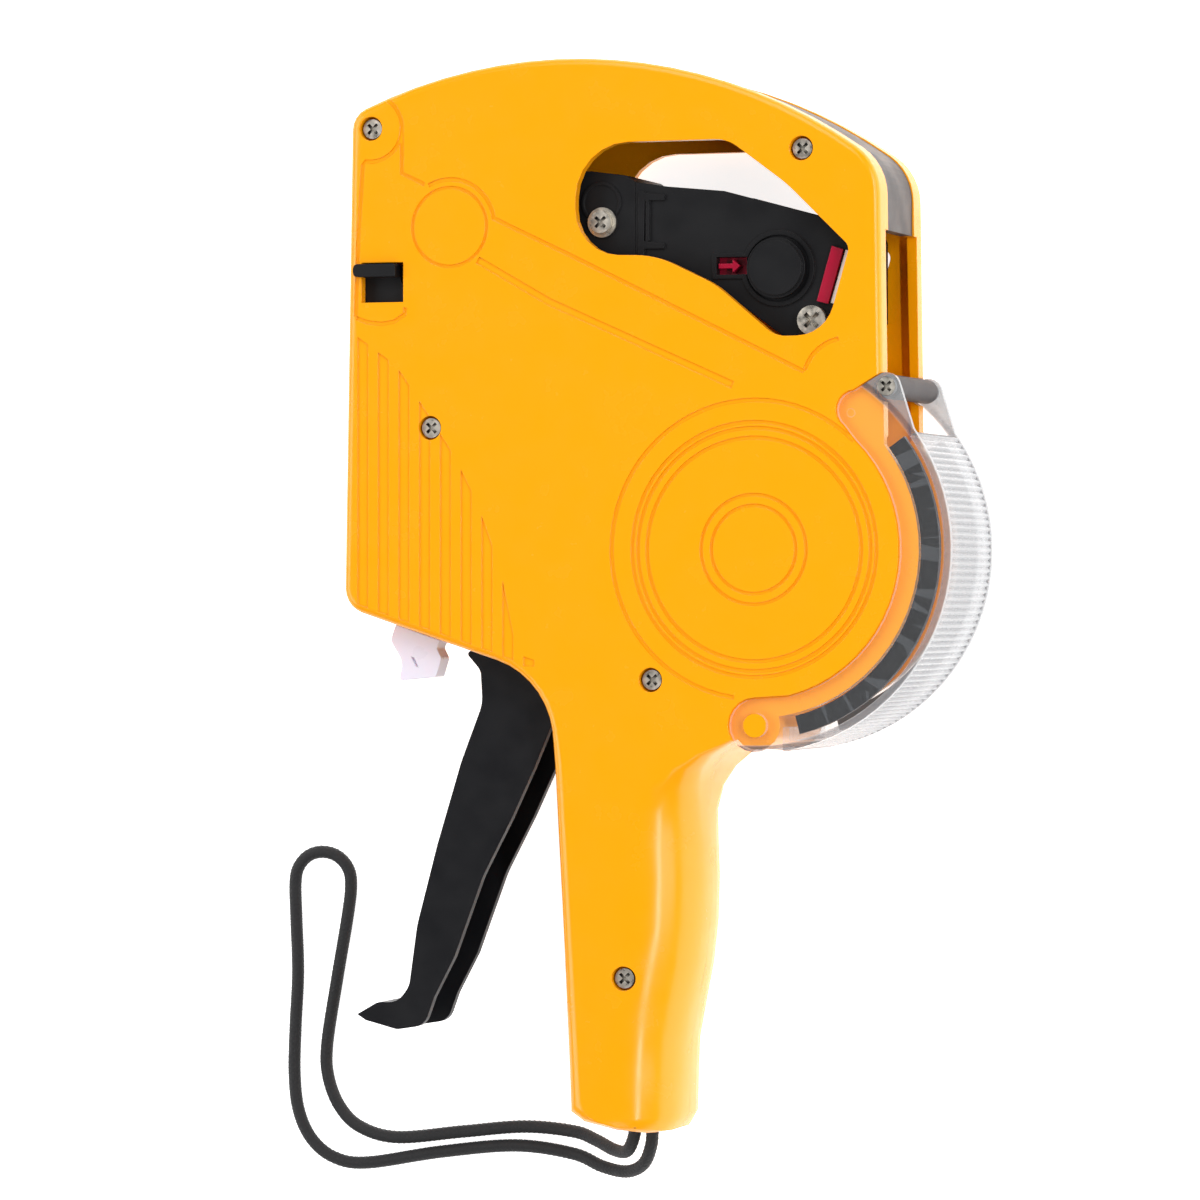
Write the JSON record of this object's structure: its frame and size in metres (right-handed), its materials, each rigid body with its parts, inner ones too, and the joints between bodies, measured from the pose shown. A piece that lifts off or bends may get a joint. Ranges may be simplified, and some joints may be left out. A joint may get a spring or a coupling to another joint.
{
  "type": "price labeling gun",
  "caption": "Hand-held price labeling gun with a pistol grip, squeeze trigger, swinging print arm, clear roll cover and wrist strap.",
  "frame": {"origin": "on the resting face of the far case half, under the axis of the label roll", "axes": "+Z out of the near face, +Y towards the top of the gun, +X towards its rear; it lies on its far side"},
  "size_m": [0.1566, 0.2343, 0.0354],
  "materials": {
    "yellow_case": "glossy moulded plastic",
    "black_plastic": "satin moulded plastic",
    "grey_plastic": "satin moulded plastic",
    "guide_grey": "satin moulded plastic",
    "roller_rubber": "ground rubber",
    "pad_rubber": "moulded rubber",
    "steel": "plated steel",
    "white_plastic": "moulded plastic",
    "crimson_plastic": "moulded plastic",
    "clear_plastic": "clear moulded plastic with reeds",
    "felt": "inked felt",
    "band_rubber": "moulded rubber",
    "cord": "braided cord"
  },
  "bodies": {
    "case": {"shell_far": "yellow_case", "shell_near": "yellow_case", "top_spine": "grey_plastic", "case_screws": "steel", "platen": "steel", "platen_pad": "pad_rubber", "peel_plate": "steel", "applicator": "white_plastic", "trigger_pivot_pin": "steel", "arm_pivot_screw": "steel", "feed_axle": "steel", "strap_pin": "steel", "trigger_spring": "steel", "wrist_strap": "cord"},
    "trigger": {"trigger": "black_plastic", "feed_pawl": "grey_plastic", "lower_link_pin": "steel"},
    "print_arm": {"arm_frame": "black_plastic", "band_housing": "black_plastic", "upper_link_pin": "steel", "print_nose": "grey_plastic", "digit_bands": "band_rubber", "setting_wheels": "grey_plastic", "head_screw": "steel", "pointer_bar": "crimson_plastic", "digit_strip": "white_plastic"},
    "drive_link": {"drive_link": "steel"},
    "driven_wheel": {"driven_wheel": "steel"},
    "cartridge_catch": {"cartridge_catch": "crimson_plastic"},
    "selector_knob": {"selector_knob": "black_plastic", "selector_rod": "steel"},
    "ink_carrier": {"ink_carrier": "black_plastic"},
    "ink_roller": {"ink_roller_core": "grey_plastic", "ink_roller_felt": "felt"},
    "feed_drum": {"feed_drum": "grey_plastic", "feed_ratchet": "black_plastic"},
    "roll_cover": {"clear_cover": "clear_plastic", "roll_side_guides": "guide_grey", "roller_shaft": "steel", "roller_screws": "steel"},
    "guide_roller": {"guide_roller": "roller_rubber"}
  },
  "joints": [
    {"name": "trigger_squeeze", "type": "hinge", "parent": "case", "child": "trigger", "pos_m": [-0.038, -0.014, 0.017], "axis": [0, 0, 1], "range_deg": [0, 17], "stiffness_Nm_per_rad": 0.6, "springref_deg": -17.19, "deforming": ["trigger_spring"]},
    {"name": "arm_swing", "type": "hinge", "parent": "case", "child": "print_arm", "pos_m": [0.0113, 0.0467, 0.017], "axis": [0, 0, 1], "range_deg": [0, 17]},
    {"name": "link_swing", "type": "hinge", "parent": "print_arm", "child": "drive_link", "pos_m": [-0.0107, 0.0547, 0.017], "axis": [0, 0, 1], "range_deg": [-17, 0]},
    {"name": "selector_turn", "type": "hinge", "parent": "print_arm", "child": "driven_wheel", "pos_m": [0.0038, 0.0575, 0.017], "axis": [0, 0, 1], "continuous": true},
    {"name": "selector_pull", "type": "slide", "parent": "driven_wheel", "child": "selector_knob", "axis": [0, 0, 1], "range_m": [0, 0.0134]},
    {"name": "catch_slide", "type": "slide", "parent": "print_arm", "child": "cartridge_catch", "axis": [1, 0, 0], "range_m": [0, 0.0015]},
    {"name": "ink_slide", "type": "slide", "parent": "case", "child": "ink_carrier", "axis": [0, -1, 0], "range_m": [0, 0.005]},
    {"name": "ink_roll", "type": "hinge", "parent": "ink_carrier", "child": "ink_roller", "pos_m": [-0.0756, 0.048, 0.017], "axis": [0, 0, 1], "continuous": true},
    {"name": "feed_turn", "type": "hinge", "parent": "case", "child": "feed_drum", "pos_m": [-0.066, 0.004, 0.017], "axis": [0, 0, 1], "continuous": true},
    {"name": "cover_swing", "type": "hinge", "parent": "case", "child": "roll_cover", "pos_m": [0.0002, -0.0359, 0.017], "axis": [0, 0, -1], "range_deg": [0, 80]},
    {"name": "guide_turn", "type": "hinge", "parent": "roll_cover", "child": "guide_roller", "pos_m": [0.028, 0.0329, 0.017], "axis": [0, 0, 1], "continuous": true}
  ],
  "couplings": [
    {"joint": "arm_swing", "follows": "trigger_squeeze", "ratio": 1},
    {"joint": "link_swing", "follows": "trigger_squeeze", "ratio": -1}
  ]
}
